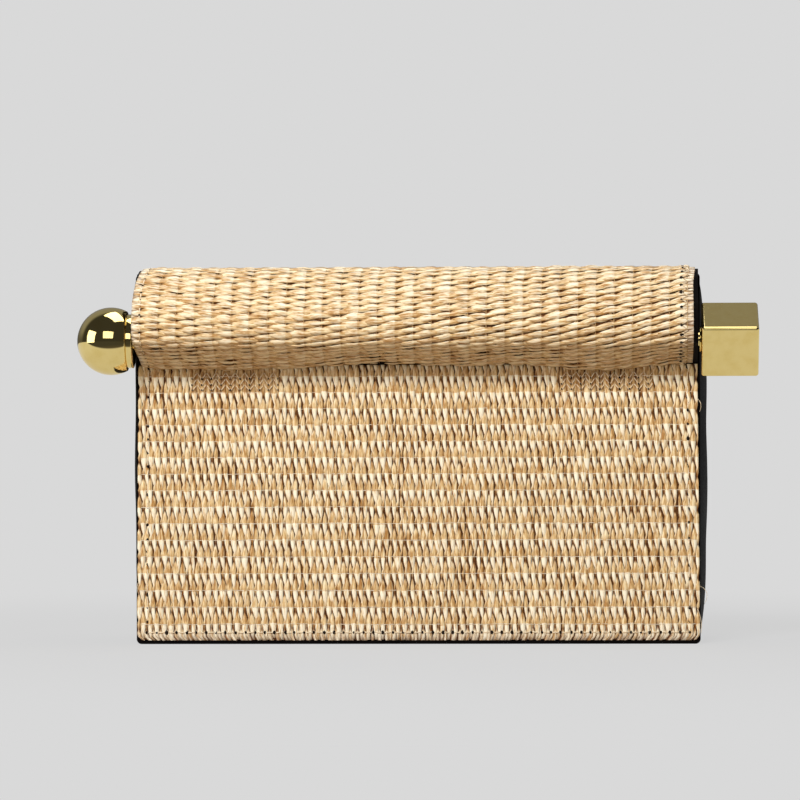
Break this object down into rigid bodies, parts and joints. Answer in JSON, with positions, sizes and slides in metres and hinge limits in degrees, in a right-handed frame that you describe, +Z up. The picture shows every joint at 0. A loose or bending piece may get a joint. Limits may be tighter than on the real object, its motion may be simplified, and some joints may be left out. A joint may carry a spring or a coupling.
{
  "type": "basket box bag",
  "caption": "Raffia-covered box clutch with a flap that ends in a rolled front, held on a gold rod with a ball at one end and a square block at the other.",
  "frame": {"origin": "middle of the base's underside, on the surface that the bag stands on", "axes": "+X along the bag towards the block, -Y out of the front panel, +Z up"},
  "size_m": [0.2647, 0.098, 0.1476],
  "materials": {
    "black_leather": "smooth black leather, satin",
    "pocket_suede": "black microsuede",
    "raffia": "natural woven raffia",
    "core_felt": "dense black felt",
    "magnet_plate": "nickel-plated magnet",
    "gold_metal": "polished pale gold plating"
  },
  "bodies": {
    "case": {"front_board": "black_leather", "back_board": "black_leather", "base_board": "black_leather", "left_gusset": "black_leather", "right_gusset": "black_leather", "lining": "pocket_suede", "front_raffia": "raffia", "back_raffia": "raffia", "left_front_magnet": "magnet_plate", "right_front_magnet": "magnet_plate"},
    "flap": {"flap_leather": "black_leather", "flap_raffia": "raffia", "roll_core": "core_felt", "left_flap_magnet": "magnet_plate", "right_flap_magnet": "magnet_plate"},
    "rod_set": {"rod": "gold_metal", "left_collar": "gold_metal", "right_collar": "gold_metal", "ball_finial": "gold_metal", "block_finial": "gold_metal"}
  },
  "joints": [
    {"name": "flap_fold", "type": "hinge", "parent": "case", "child": "flap", "pos_m": [0, 0.0362, 0.1476], "axis": [-1, 0, 0], "range_deg": [0, 135]},
    {"name": "rod_turn", "type": "hinge", "parent": "flap", "child": "rod_set", "pos_m": [0, -0.0475, 0.1186], "axis": [1, 0, 0], "continuous": true}
  ]
}
